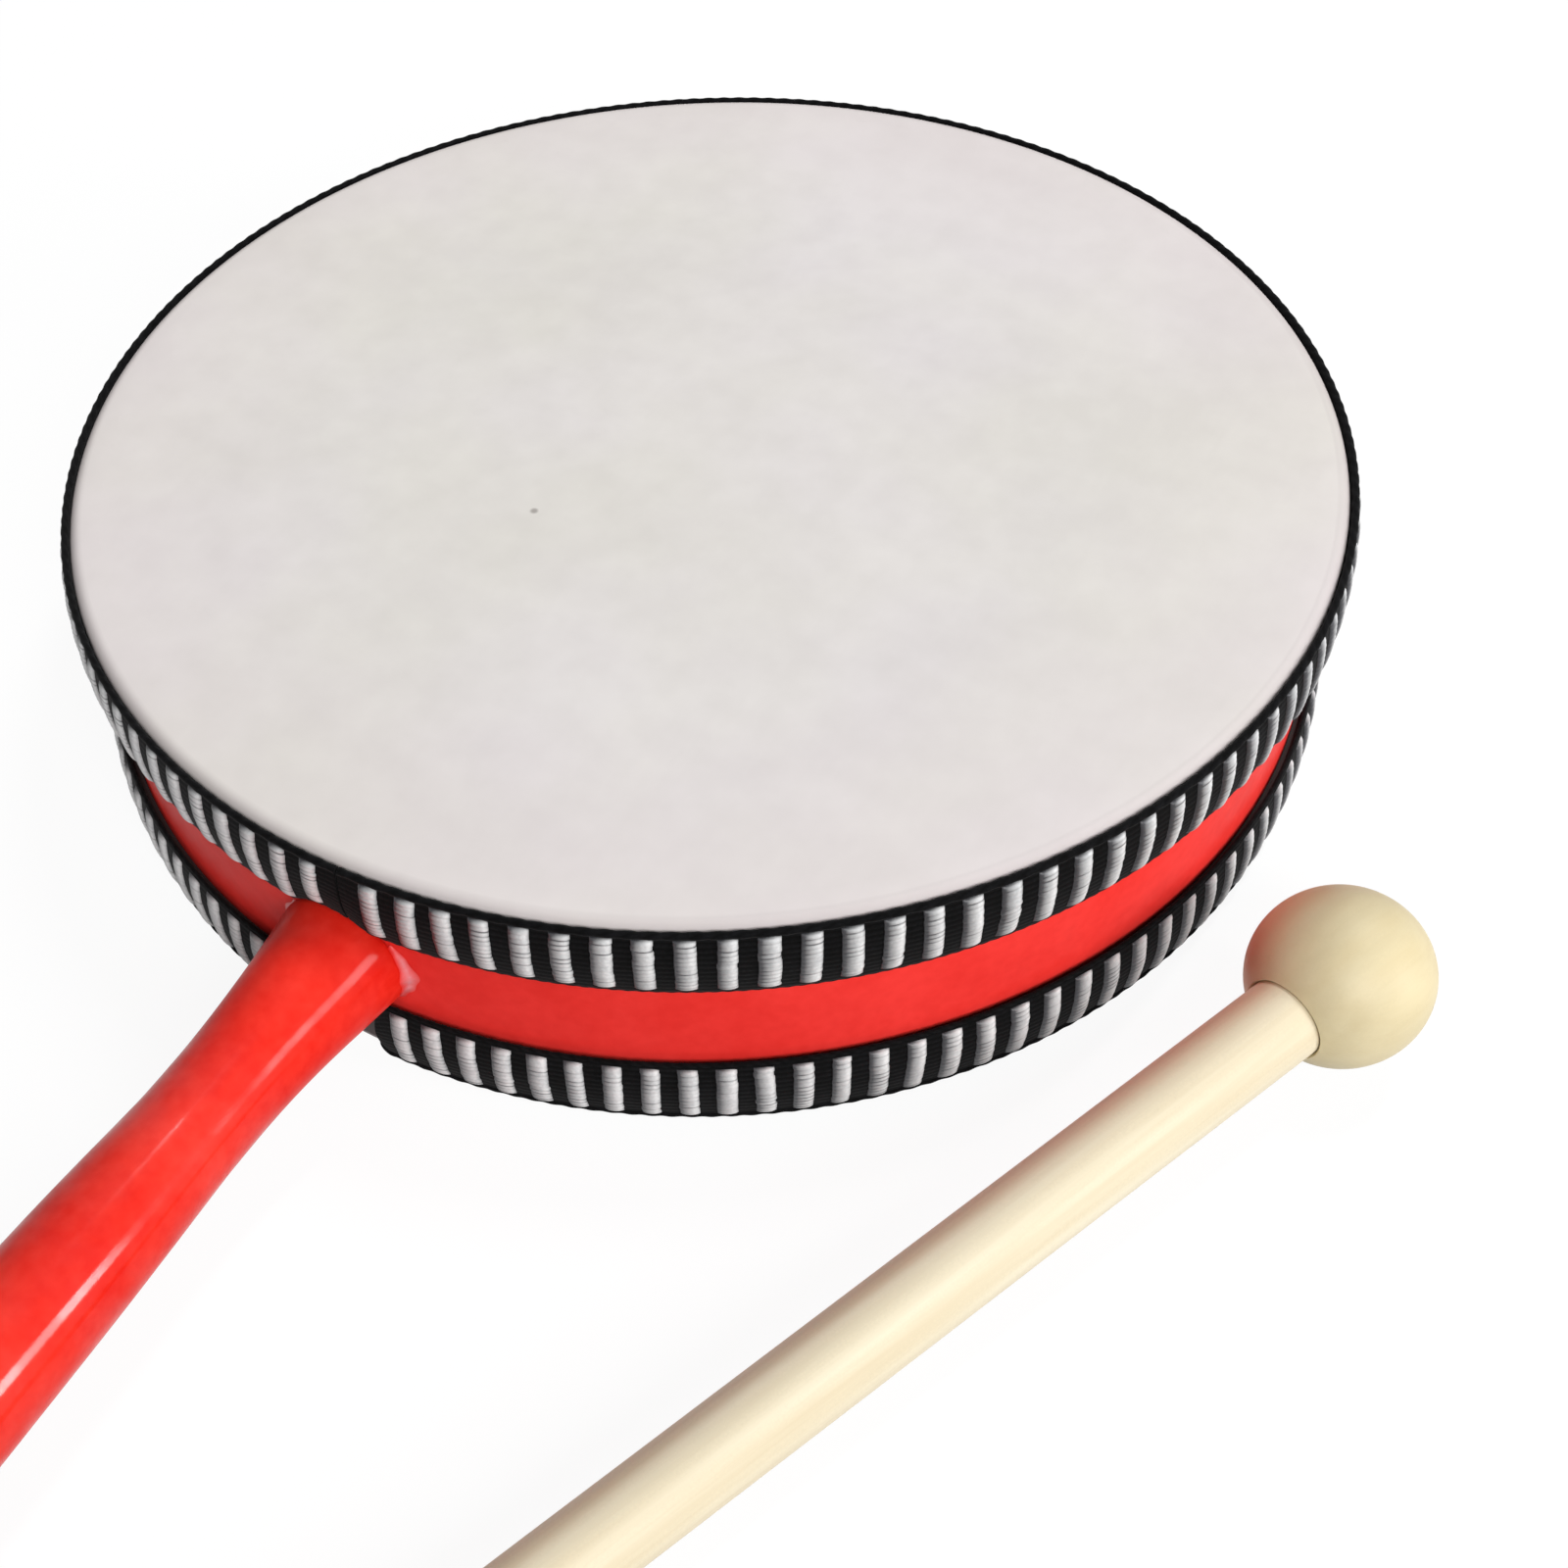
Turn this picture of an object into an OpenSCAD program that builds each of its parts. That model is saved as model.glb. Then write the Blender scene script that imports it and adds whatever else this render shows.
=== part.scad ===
// Toy hand drum: a red hoop with two skin heads, a turned handle and a ball-ended mallet.
// Millimetres, +Z up. The drum lies on its lower head, with the origin at that head's centre.
// The handle points along -Y, and the mallet lies beside the drum on the same table.

/* [Hoop] */
// Outer diameter of the bent wooden hoop
hoop_d = 148.6; // [110:0.2:220]
// Wall thickness of the hoop
hoop_t = 5; // [4:0.1:9]
// Height of the hoop between its bearing edges
hoop_h = 30.8; // [28:0.2:60]
// Rounding of the hoop's outer bearing edges
edge_r = 0.7; // [0.4:0.1:2.5]

/* [Heads] */
// Thickness of the skin
skin_t = 0.6; // [0.3:0.05:1.5]
// How far the skin turns over the hoop's side
collar_h = 7.4; // [3:0.1:9]
// Thickness of the glue line under the skin and the tape
glue_line = 0.05; // [0.02:0.01:0.2]

/* [Ribbon] */
// Width of the woven tape
tape_w = 9.6; // [6:0.1:12]
// Thickness of the tape beside its edge cords
tape_t = 0.6; // [0.4:0.05:1.5]
// How far the tape swells out between its edge cords
tape_swell = 0.9; // [0.4:0.05:1.2]
// Diameter of the thick cord along the tape's edge at the playing face
rim_cord_d = 0.9; // [0.6:0.05:2]
// Diameter of the thin cord along the tape's edge at the red band
band_cord_d = 0.6; // [0.4:0.05:1.2]
// Distance from a playing face to the tape's near edge
tape_inset = 0.1; // [0.05:0.05:2]
// Space between the cut ends of the upper tape
upper_seam_gap = 0.3; // [0.1:0.05:6]
// Space between the cut ends of the lower tape, which stop under the handle
lower_seam_gap = 5.4; // [0.1:0.1:10]
// Turn of the upper tape's seam away from the handle, in degrees
upper_seam_turn = 2; // [0:0.5:90]
// Turn of the lower tape's seam away from the handle, in degrees
lower_seam_turn = 0; // [0:0.5:90]
// Rounding of the corners at the cut ends
end_round = 1.4; // [0.2:0.1:2.5]
// Number of white ribs round each tape
rib_count = 116; // [60:1:150]
// Width of a white rib along the tape
rib_w = 2.05; // [1:0.05:2.6]
// How far a white rib stands out of the tape
rib_rise = 0.5; // [0.1:0.05:0.8]
// Length of plain tape at each cut end
bare_l = 1.45; // [0.5:0.05:6]
// Space between the yarn of a rib and the tape under it
weave_gap = 0.02; // [0.01:0.01:0.1]

/* [Handle] */
// Length of the handle outside the hoop
handle_l = 120; // [80:1:200]
// Diameter where the handle meets the hoop
root_d = 15.4; // [12:0.1:18]
// Length of the flare at the root
flare_l = 22; // [8:0.5:30]
// Diameter of the neck
neck_d = 11.6; // [9:0.1:14]
// Length of the straight neck after the flare
neck_l = 5; // [2:0.5:20]
// Greatest diameter of the grip
grip_d = 14.4; // [12:0.1:24]
// Length from the grip's fullest part to its rounded end
butt_l = 28; // [12:0.5:40]
// Diameter of the tenon that enters the hoop
tenon_d = 8; // [6:0.1:10]
// Wood left in the hoop between the tenon and the washer
web_t = 1.8; // [1:0.1:2.4]
// Radial clearance of the tenon, the screw and the mallet's stick
fit_gap = 0.1; // [0.05:0.01:0.2]
// Clearance of the tapes and skins round the handle's root
root_gap = 0.3; // [0.1:0.05:1]
// Width of the glue bead beside the handle's root
bead_w = 1.6; // [0.6:0.1:3]

/* [Screw] */
// Diameter of the screw's body
screw_d = 3.4; // [2.5:0.1:4.5]
// Length of the screw under its head
screw_l = 26; // [16:0.5:40]
// Length of the screw's point
screw_tip_l = 5; // [3:0.5:8]
// Diameter of the screw's domed head
screw_head_d = 7; // [6:0.1:9]
// Height of the screw's head
screw_head_h = 2.4; // [1.6:0.1:3.5]
// Width of the cross slots in the head
slot_w = 0.9; // [0.5:0.1:1.4]
// Depth of the cross slots
slot_depth = 1.3; // [0.5:0.1:1.5]
// Outer diameter of the washer
washer_d = 9.6; // [9.2:0.1:12]
// Thickness of the washer
washer_t = 0.8; // [0.5:0.1:1.5]
// Depth of the flat seat cut for the washer inside the hoop
seat_depth = 0.4; // [0.3:0.05:0.8]
// Radial clearance of the washer in its seat
seat_gap = 0.4; // [0.2:0.1:1]

/* [Mallet] */
// Diameter of the wooden ball
ball_d = 19.4; // [16:0.1:32]
// Diameter of the stick where it enters the ball
stick_d = 9; // [6:0.1:12]
// Diameter of the stick at its free end
stick_end_d = 8; // [5:0.1:12]
// Length of the mallet over all
mallet_l = 190; // [140:1:240]
// Depth of the socket in the ball
socket_l = 11; // [6:0.1:14]
// Rounding of the stick's free end
stick_round = 1.6; // [0.5:0.1:2.4]
// Space between the drum's side and the ball
ball_apart = 6.7; // [3:0.1:40]
// Bearing of the ball from the drum's centre, in degrees from +X
ball_bearing = -14; // [-20:0.5:20]
// Bearing of the stick as it leaves the ball, in degrees from +X
stick_bearing = -111.8; // [-114:0.2:-85]

/* [Hidden] */
$fn = 96;
steps = 24;
over = 1;
hoop_r = hoop_d / 2;
hoop_in_r = hoop_r - hoop_t;
skin_in_r = hoop_r + glue_line;
skin_out_r = skin_in_r + skin_t;
half_h = hoop_h / 2 + glue_line + skin_t;
tape_in_r = skin_out_r + glue_line;
swell_r = tape_in_r + tape_t + tape_swell;
drum_out_r = swell_r + weave_gap + rib_rise;
tape_mid_z = half_h - tape_inset - tape_w / 2;
chord = tape_w - rim_cord_d - band_cord_d;
swell_mid = (band_cord_d - rim_cord_d) / 2;
arc_r = (pow(chord / 2, 2) + pow(tape_swell, 2)) / (2 * tape_swell);
arc_at_r = swell_r - arc_r;
rib_angle = rib_w / swell_r * 180 / PI;
handle_bearing = -90;
root_reach = asin((root_d / 2 + root_gap) / tape_in_r) + rib_angle;
tenon_l = hoop_t - seat_depth - web_t - fit_gap;
neck_end = flare_l + neck_l;
grip_at = handle_l - butt_l;
seat_r = hoop_in_r + seat_depth;
ball_r = ball_d / 2;
ball_from_centre = drum_out_r + ball_apart + ball_r;
socket_end = ball_r - socket_l;
stick_end = mallet_l - ball_r;
stick_slope = asin((ball_r - stick_end_d / 2) / (stick_end - stick_round));

// Frame of the drum's mid plane, and a frame whose +Z runs out along the handle.
module at_mid_plane() { translate([0, 0, half_h]) children(); }
module along_handle() { at_mid_plane() rotate([90, 0, 0]) children(); }

// Half section of a drum of the given radius and half height with a rounded outer edge.
module rounded_half(r, h, e) {
    square([r - e, h]);
    square([r, h - e]);
    translate([r - e, h - e]) circle(e);
}

// Space that the handle's root takes where it passes the tapes and skins.
module root_space() {
    along_handle() cylinder(h = drum_out_r + over, d = root_d + 2 * root_gap);
}

// The bent hoop: rounded bearing edges, a stepped hole for the handle and a flat washer seat.
module shell_hoop() {
    color("red") difference() {
        at_mid_plane() rotate_extrude() difference() {
            union() {
                rounded_half(hoop_r, hoop_h / 2, edge_r);
                mirror([0, 1]) rounded_half(hoop_r, hoop_h / 2, edge_r);
            }
            translate([0, -hoop_h]) square([hoop_in_r, 2 * hoop_h]);
        }
        along_handle() {
            translate([0, 0, hoop_r - tenon_l - fit_gap])
                cylinder(h = hoop_t, d = tenon_d + 2 * fit_gap);
            translate([0, 0, hoop_in_r - over])
                cylinder(h = hoop_t, d = screw_d + 2 * fit_gap);
            translate([0, 0, seat_r - hoop_t]) cylinder(h = hoop_t, d = washer_d + 2 * seat_gap);
        }
    }
}

// A skin: a flat playing face that bends over the hoop's edge into a short collar.
module skin() {
    rotate_extrude() difference() {
        rounded_half(skin_out_r, half_h, edge_r + glue_line + skin_t);
        rounded_half(skin_in_r, hoop_h / 2 + glue_line, edge_r + glue_line);
        square([skin_out_r + over, hoop_h / 2 - collar_h]);
    }
}

module upper_head() {
    color("linen") difference() {
        at_mid_plane() skin();
        root_space();
    }
}

module lower_head() {
    color("linen") difference() {
        at_mid_plane() mirror([0, 0, 1]) skin();
        root_space();
    }
}

// Cross section of a tape, 1 for the upper and -1 for the lower one: a swollen middle between a thick
// cord at the playing face and a thin one at the red band.
module tape_section(side) {
    intersection() {
        translate([tape_in_r, side * swell_mid / 2 - (tape_w + chord) / 4])
            square([tape_t + tape_swell, (tape_w + chord) / 2]);
        translate([arc_at_r, side * swell_mid]) circle(arc_r, $fn = 360);
    }
    translate([tape_in_r + rim_cord_d / 2, side * (tape_w - rim_cord_d) / 2])
        circle(d = rim_cord_d, $fn = 24);
    translate([tape_in_r + band_cord_d / 2, side * (band_cord_d - tape_w) / 2])
        circle(d = band_cord_d, $fn = 24);
}

// Cross section of a white rib: a crescent that lies on the swollen middle, clear of both cords.
module rib_section(side) {
    intersection() {
        difference() {
            translate([arc_at_r, side * swell_mid]) circle(arc_r + weave_gap + rib_rise, $fn = 360);
            translate([arc_at_r, side * swell_mid]) circle(arc_r + weave_gap, $fn = 360);
        }
        translate([tape_in_r, side * swell_mid - chord / 2 + weave_gap])
            square([drum_out_r - tape_in_r + over, chord - 2 * weave_gap]);
    }
}

// Opening between the cut ends of a tape: a slot less the two ends, whose corners are rounded by no
// more than half the gap.
module seam_opening(gap) {
    corner = min(end_round, gap / 2);
    translate([tape_in_r - over, 0, 0]) rotate([90, 0, 90])
        linear_extrude(drum_out_r - tape_in_r + 2 * over) difference() {
            square([gap + 2 * corner, 2 * tape_w], center = true);
            for (end = [-1, 1]) translate([end * (gap / 2 + corner), 0]) {
                square([2 * corner, tape_w - 2 * corner], center = true);
                for (edge = [-1, 1]) translate([0, edge * (tape_w / 2 - corner)])
                    circle(corner, $fn = 48);
            }
        }
}

// A band of tape whose cut ends meet at a turn from the handle, notched round its root.
module tape_band(side, seam_turn, gap) {
    difference() {
        translate([0, 0, half_h + side * tape_mid_z]) difference() {
            rotate_extrude() tape_section(side);
            rotate(handle_bearing + seam_turn) seam_opening(gap);
        }
        root_space();
    }
}

// The ring of white ribs, which leaves the tape plain on both sides of the seam.
// Only the ribs that the handle's root reaches are cut back from it.
module rib_ring(side, seam_turn, gap) {
    bare_angle = (gap + 2 * bare_l) / tape_in_r * 180 / PI;
    for (i = [0 : rib_count - 1]) {
        turn = seam_turn + bare_angle / 2 + (i + 0.5) * (360 - bare_angle) / rib_count;
        difference() {
            translate([0, 0, half_h + side * tape_mid_z]) rotate(handle_bearing + turn - rib_angle / 2)
                rotate_extrude(angle = rib_angle) rib_section(side);
            if (cos(turn) > cos(root_reach)) root_space();
        }
    }
}

module upper_ribbon() {
    color([0.08, 0.08, 0.09]) tape_band(1, upper_seam_turn, upper_seam_gap);
}

module lower_ribbon() {
    color([0.08, 0.08, 0.09]) tape_band(-1, lower_seam_turn, lower_seam_gap);
}

module upper_ribs() {
    color("white") rib_ring(1, upper_seam_turn, upper_seam_gap);
}

module lower_ribs() {
    color("white") rib_ring(-1, lower_seam_turn, lower_seam_gap);
}

// Radius of the turned handle at distance s from the hoop: flare, neck, swelling grip, domed end.
function flare_radius(s) = neck_d / 2 + (root_d - neck_d) / 2 * pow(1 - s / flare_l, 2);
function swell_radius(u) = neck_d / 2 + (grip_d - neck_d) / 2 * sin(90 * u);
function butt_radius(u) = grip_d / 2 * sqrt(max(0, 1 - pow(u, 4)));

// Half section of the turned handle, grown by gap; its root reaches back into the hoop's curve.
module turned_section(gap) {
    back = hoop_r - sqrt(pow(hoop_r, 2) - pow(root_d / 2 + gap, 2)) + over;
    polygon([
        [0, -back],
        [root_d / 2 + gap, -back],
        for (i = [0 : steps]) [flare_radius(flare_l * i / steps) + gap, flare_l * i / steps],
        for (i = [0 : steps]) [swell_radius(i / steps) + gap,
                               neck_end + (grip_at - neck_end) * i / steps],
        for (i = [1 : steps]) let (u = sin(90 * i / steps))
            [butt_radius(u) + (u < 1 ? gap : 0), grip_at + butt_l * u + (u < 1 ? 0 : gap)]
    ]);
}

// The turned handle, coped to sit on the round hoop, with its tenon and the screw's pilot hole.
module handle() {
    color("red") difference() {
        union() {
            difference() {
                along_handle() translate([0, 0, hoop_r]) rotate_extrude() turned_section(0);
                translate([0, 0, -over])
                    cylinder(h = 2 * half_h + 2 * over, r = hoop_r + glue_line, $fn = 360);
            }
            along_handle() translate([0, 0, hoop_r - tenon_l]) cylinder(h = tenon_l + over, d = tenon_d);
        }
        along_handle() translate([0, 0, hoop_in_r])
            cylinder(h = screw_l, d = screw_d + 2 * fit_gap);
    }
}

// The screw: domed head with cross slots inside the hoop, body and point in the handle.
module handle_screw() {
    head_seat = seat_r - washer_t - glue_line;
    dome_r = (pow(screw_head_d / 2, 2) + pow(screw_head_h, 2)) / (2 * screw_head_h);
    color("silver") along_handle() translate([0, 0, head_seat]) {
        cylinder(h = screw_l - screw_tip_l, d = screw_d);
        translate([0, 0, screw_l - screw_tip_l]) cylinder(h = screw_tip_l, d1 = screw_d, d2 = 0);
        difference() {
            intersection() {
                translate([0, 0, dome_r - screw_head_h]) sphere(dome_r);
                translate([0, 0, -screw_head_h]) cylinder(h = screw_head_h, d = screw_head_d);
            }
            for (turn = [0, 90]) rotate(turn)
                translate([-screw_head_d / 4, -slot_w / 2, -screw_head_h - over])
                    cube([screw_head_d / 2, slot_w, slot_depth + over]);
        }
    }
}

module screw_washer() {
    color("silver") along_handle() translate([0, 0, seat_r - washer_t - glue_line / 2]) difference() {
        cylinder(h = washer_t, d = washer_d);
        translate([0, 0, -over]) cylinder(h = washer_t + 2 * over, d = screw_d + 2 * fit_gap);
    }
}

// Two beads of squeezed-out glue, left and right of the root, between the tapes.
module handle_glue() {
    band_h = 2 * (tape_mid_z - tape_w / 2 - glue_line);
    color("mistyrose") intersection() {
        difference() {
            along_handle() translate([0, 0, hoop_r - bead_w])
                cylinder(h = 2 * bead_w, r1 = root_d / 2 + 2 * bead_w, r2 = root_d / 2);
            along_handle() translate([0, 0, hoop_r]) rotate_extrude() turned_section(glue_line);
            translate([0, 0, -over])
                cylinder(h = 2 * half_h + 2 * over, r = hoop_r + glue_line, $fn = 360);
        }
        at_mid_plane() translate([-root_d, -hoop_r - root_d, -band_h / 2])
            cube([2 * root_d, 2 * root_d, band_h]);
    }
}

// Frame of the mallet: origin at the ball's centre, +Z along the stick to its free end on the table.
module along_stick() {
    rotate(ball_bearing) translate([ball_from_centre, 0, ball_r]) rotate(stick_bearing - ball_bearing)
        rotate([0, 90 + stick_slope, 0]) children();
}

module mallet_stick() {
    color("wheat") along_stick() rotate_extrude() polygon([
        [0, socket_end + glue_line],
        [stick_d / 2, socket_end + glue_line],
        [stick_d / 2, ball_r],
        for (i = [0 : steps / 2]) let (a = 180 * i / steps)
            [stick_end_d / 2 - stick_round * (1 - cos(a)), stick_end - stick_round * (1 - sin(a))],
        [0, stick_end]
    ]);
}

module mallet_ball() {
    color("wheat") along_stick() difference() {
        sphere(ball_r);
        translate([0, 0, socket_end]) cylinder(h = socket_l + over, d = stick_d + 2 * fit_gap);
    }
}

shell_hoop();
upper_head();
lower_head();
upper_ribbon();
lower_ribbon();
upper_ribs();
lower_ribs();
handle();
handle_screw();
screw_washer();
handle_glue();
mallet_stick();
mallet_ball();
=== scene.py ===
# %% [markdown]
# A toy hand drum and its mallet
#
# The real object is a bent wooden hoop with a skin on each side, two ribbed woven tapes over the skins'
# edges, a turned and lacquered handle, and a wooden mallet that lies beside the drum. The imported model
# gives every piece its size and place. This lesson dresses those pieces: nearly all of them become
# surfaces worked out with numpy, and each gets a material made of shader nodes.

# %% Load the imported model
from math import atan2, cos, pi, radians, sin, sqrt

import bmesh
import bpy
import numpy as np
from mathutils import Matrix, Vector


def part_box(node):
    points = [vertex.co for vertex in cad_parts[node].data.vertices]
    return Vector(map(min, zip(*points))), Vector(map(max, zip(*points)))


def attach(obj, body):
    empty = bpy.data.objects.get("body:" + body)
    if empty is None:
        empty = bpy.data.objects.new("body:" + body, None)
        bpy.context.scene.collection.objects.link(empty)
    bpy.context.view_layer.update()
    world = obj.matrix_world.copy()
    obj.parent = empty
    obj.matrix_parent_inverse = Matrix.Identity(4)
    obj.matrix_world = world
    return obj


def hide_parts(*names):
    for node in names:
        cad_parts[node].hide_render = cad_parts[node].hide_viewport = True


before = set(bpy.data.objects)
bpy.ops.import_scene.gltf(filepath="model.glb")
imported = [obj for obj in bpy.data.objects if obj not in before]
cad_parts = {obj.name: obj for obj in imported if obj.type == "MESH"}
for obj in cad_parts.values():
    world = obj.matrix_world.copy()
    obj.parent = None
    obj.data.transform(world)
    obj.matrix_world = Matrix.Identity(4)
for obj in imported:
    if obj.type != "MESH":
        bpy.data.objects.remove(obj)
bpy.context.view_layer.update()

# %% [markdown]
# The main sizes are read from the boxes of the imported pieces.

MM = 0.001
FACE_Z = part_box("upper_head")[1].z
MID_Z = FACE_Z / 2
SKIN_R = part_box("upper_head")[1].x
HOOP_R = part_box("shell_hoop")[1].x
TAPE_TOP_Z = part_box("upper_ribbon")[1].z
TAPE_W = TAPE_TOP_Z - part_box("upper_ribbon")[0].z
TAPE_OUT_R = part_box("upper_ribbon")[1].x
RIB_OUT_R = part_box("upper_ribs")[1].x
print("face at", round(FACE_Z / MM, 2), "mm, tape", round(TAPE_W / MM, 2), "mm wide")
print("hoop radius", round(HOOP_R / MM, 2), "mm, skin radius", round(SKIN_R / MM, 2), "mm")

# %% [markdown]
# Camera: the photograph looks down on the drum at about fifty degrees, from the right of the handle. A
# pinhole camera was fitted to the drum's circles, and it is written here as an aim point, a distance
# and three angles. The photograph is a crop from a wider picture, so its centre of projection lies left
# of and below its middle. A small lens shift holds part of that, and the angles take up what they can
# of the rest.

# %% The photograph's camera
AIM = Vector((13.2, -40.1, 0)) * MM
DISTANCE = 239.3 * MM
HEADING, PITCH, ROLL = radians(35.6), radians(50.3), radians(-5.1)
PHOTO = 1600
FOCAL_PIXELS = 2060
CENTRE_PIXEL = (644, 890)
SENSOR = 36
NEAREST, FURTHEST = 0.01, 20

right = Vector((cos(HEADING), sin(HEADING), 0))
back = Vector((sin(HEADING) * cos(PITCH), -cos(HEADING) * cos(PITCH), sin(PITCH)))
up = back.cross(right)
right, up = right * cos(ROLL) + up * sin(ROLL), up * cos(ROLL) - right * sin(ROLL)
eye = AIM + back * DISTANCE
camera_data = bpy.data.cameras.new("photo_camera")
camera_data.sensor_width = SENSOR
camera_data.lens = SENSOR * FOCAL_PIXELS / PHOTO
camera_data.shift_x = (PHOTO / 2 - CENTRE_PIXEL[0]) / PHOTO
camera_data.shift_y = (CENTRE_PIXEL[1] - PHOTO / 2) / PHOTO
camera_data.clip_start = NEAREST
camera_data.clip_end = FURTHEST
camera = bpy.data.objects.new("photo_camera", camera_data)
camera.matrix_world = Matrix.Translation(eye) @ Matrix((right, up, back)).transposed().to_4x4()
bpy.context.scene.collection.objects.link(camera)
bpy.context.scene.camera = camera
print("camera at", [round(c / MM, 1) for c in eye], "mm")


def on_plane(pixel, height):
    """Point of a photograph pixel's ray at a height above the table."""
    aside = pixel[0] - CENTRE_PIXEL[0]
    above = CENTRE_PIXEL[1] - pixel[1]
    ray = right * aside / FOCAL_PIXELS + up * above / FOCAL_PIXELS - back
    return eye + ray * ((height - eye.z) / ray.z)


# %% [markdown]
# Finishes are node trees. Two helpers do the wiring: one adds a node with its values, and one starts a
# material with its Principled shader, whose constant values go straight on the shader's own sockets.

# %% Nodes and materials
def socket_names(values):
    """Plain argument names turned into the names of a node's sockets."""
    return {key.replace("_", " ").title().replace("Ior", "IOR"): value for key, value in values.items()}


def add(tree, kind, values=None, **settings):
    """A new node in a tree, with its properties set and its input sockets filled or linked."""
    made = tree.nodes.new(kind)
    for key, value in settings.items():
        setattr(made, key, value)
    for key, value in (values or {}).items():
        if isinstance(value, bpy.types.NodeSocket):
            tree.links.new(value, made.inputs[key])
        else:
            made.inputs[key].default_value = value
    return made


def empty_tree(owner):
    """The node tree of a material or a world, cleared for use."""
    owner.use_nodes = True
    owner.node_tree.nodes.clear()
    return owner.node_tree


def new_material(name, **sockets):
    """A material with only a Principled shader, set to the values given, and its output."""
    material = bpy.data.materials.new(name)
    tree = empty_tree(material)
    shader = add(tree, "ShaderNodeBsdfPrincipled", socket_names(sockets))
    add(tree, "ShaderNodeOutputMaterial", {"Surface": shader.outputs["BSDF"]})
    return material, tree, shader


# %% [markdown]
# Nearly every finish asks the same few questions: where am I on the piece, how cloudy is it here, how
# far along a range is a number. Each question is one node, and these helpers give its answer as a
# socket.

# %% Node helpers
def object_place(tree):
    """The shaded point in the piece's own coordinates."""
    return add(tree, "ShaderNodeTexCoord").outputs["Object"]


def along_axis(tree, vector, axis):
    """One of a vector's three coordinates."""
    return add(tree, "ShaderNodeSeparateXYZ", {"Vector": vector}).outputs[axis]


def noise(tree, vector, scale, detail, roughness=0.5):
    """A cloudy number between 0 and 1."""
    values = {"Vector": vector, "Scale": scale, "Detail": detail, "Roughness": roughness}
    return add(tree, "ShaderNodeTexNoise", values).outputs["Fac"]


def span(tree, value, low, high, start=0, end=1):
    """A number that goes from start to end while a value goes from low to high, and stays there beyond."""
    values = {"Value": value, "From Min": low, "From Max": high, "To Min": start, "To Max": end}
    return add(tree, "ShaderNodeMapRange", values).outputs[0]


def blend(tree, share, first, second, way="MIX"):
    """Two colours mixed by a share between 0 and 1."""
    made = add(tree, "ShaderNodeMix", {0: share, 6: first, 7: second}, data_type="RGBA", blend_type=way)
    return made.outputs[2]


def calculate(tree, operation, *values):
    """The answer of a Math node."""
    return add(tree, "ShaderNodeMath", dict(enumerate(values)), operation=operation).outputs[0]


def off_middle(tree, value, middle):
    """How far a value lies from a middle one, on either side."""
    return calculate(tree, "ABSOLUTE", calculate(tree, "SUBTRACT", value, middle))


def measure(tree, operation, *vectors):
    """The answer of a Vector Math node: a number for a length or a distance, and otherwise a vector."""
    made = add(tree, "ShaderNodeVectorMath", dict(enumerate(vectors)), operation=operation)
    return made.outputs["Value" if operation in ("LENGTH", "DISTANCE") else "Vector"]


def ramp(tree, value, *stops):
    """A colour ramp between two stops, each a position and a colour."""
    made = add(tree, "ShaderNodeValToRGB", {"Fac": value})
    for element, (place, colour) in zip(made.color_ramp.elements, stops):
        element.position = place
        element.color = (*colour, 1)
    return made.outputs["Color"]


def bump(tree, shader, height, strength, distance, below=None):
    """A bump node over an optional one below it, linked to the shader's normal."""
    made = add(tree, "ShaderNodeBump", {"Height": height, "Strength": strength, "Distance": distance})
    if below:
        tree.links.new(below.outputs["Normal"], made.inputs["Normal"])
    tree.links.new(made.outputs["Normal"], shader.inputs["Normal"])
    return made


# %% [markdown]
# Lacquer, skin, yarn, glue and steel all have one thing in common: their colour is a little blotchy, at
# a slow and at a fine scale. That is one shared group, "fine mottle", which each of them sets to its
# own colours.

# %% Shared group
MOTTLE_INPUTS = (
    ("Vector", "NodeSocketVector", (0, 0, 0)),
    ("Scale", "NodeSocketFloat", 30),
    ("Fine Scale", "NodeSocketFloat", 400),
    ("Share", "NodeSocketFloat", 0.3),
    ("Dark", "NodeSocketColor", (0, 0, 0, 1)),
    ("Light", "NodeSocketColor", (1, 1, 1, 1)))
MOTTLE_OUTPUTS = (("Color", "NodeSocketColor"), ("Value", "NodeSocketFloat"))
MOTTLE_LOW, MOTTLE_HIGH = 0.35, 0.65


def build_fine_mottle():
    """Blotches at two scales, mixed by Share, between the two colours given."""
    tree = bpy.data.node_groups.new("fine mottle", "ShaderNodeTree")
    for label, kind, value in MOTTLE_INPUTS:
        tree.interface.new_socket(label, in_out="INPUT", socket_type=kind).default_value = value
    for label, kind in MOTTLE_OUTPUTS:
        tree.interface.new_socket(label, in_out="OUTPUT", socket_type=kind)
    take = add(tree, "NodeGroupInput").outputs
    slow = noise(tree, take["Vector"], take["Scale"], detail=4)
    fast = noise(tree, take["Vector"], take["Fine Scale"], detail=3)
    both = add(tree, "ShaderNodeMix", {0: take["Share"], 2: slow, 3: fast}).outputs[0]
    spread = span(tree, both, MOTTLE_LOW, MOTTLE_HIGH)
    tint = blend(tree, spread, take["Dark"], take["Light"])
    add(tree, "NodeGroupOutput", {"Color": tint, "Value": spread})
    return tree


FINE_MOTTLE = build_fine_mottle()


def mottle(tree, vector, **values):
    """Places the fine mottle group in a material and gives its outputs."""
    values = {"Vector": vector, **socket_names(values)}
    return add(tree, "ShaderNodeGroup", values, node_tree=FINE_MOTTLE).outputs


print("shared group with", len(FINE_MOTTLE.nodes), "nodes")

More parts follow.
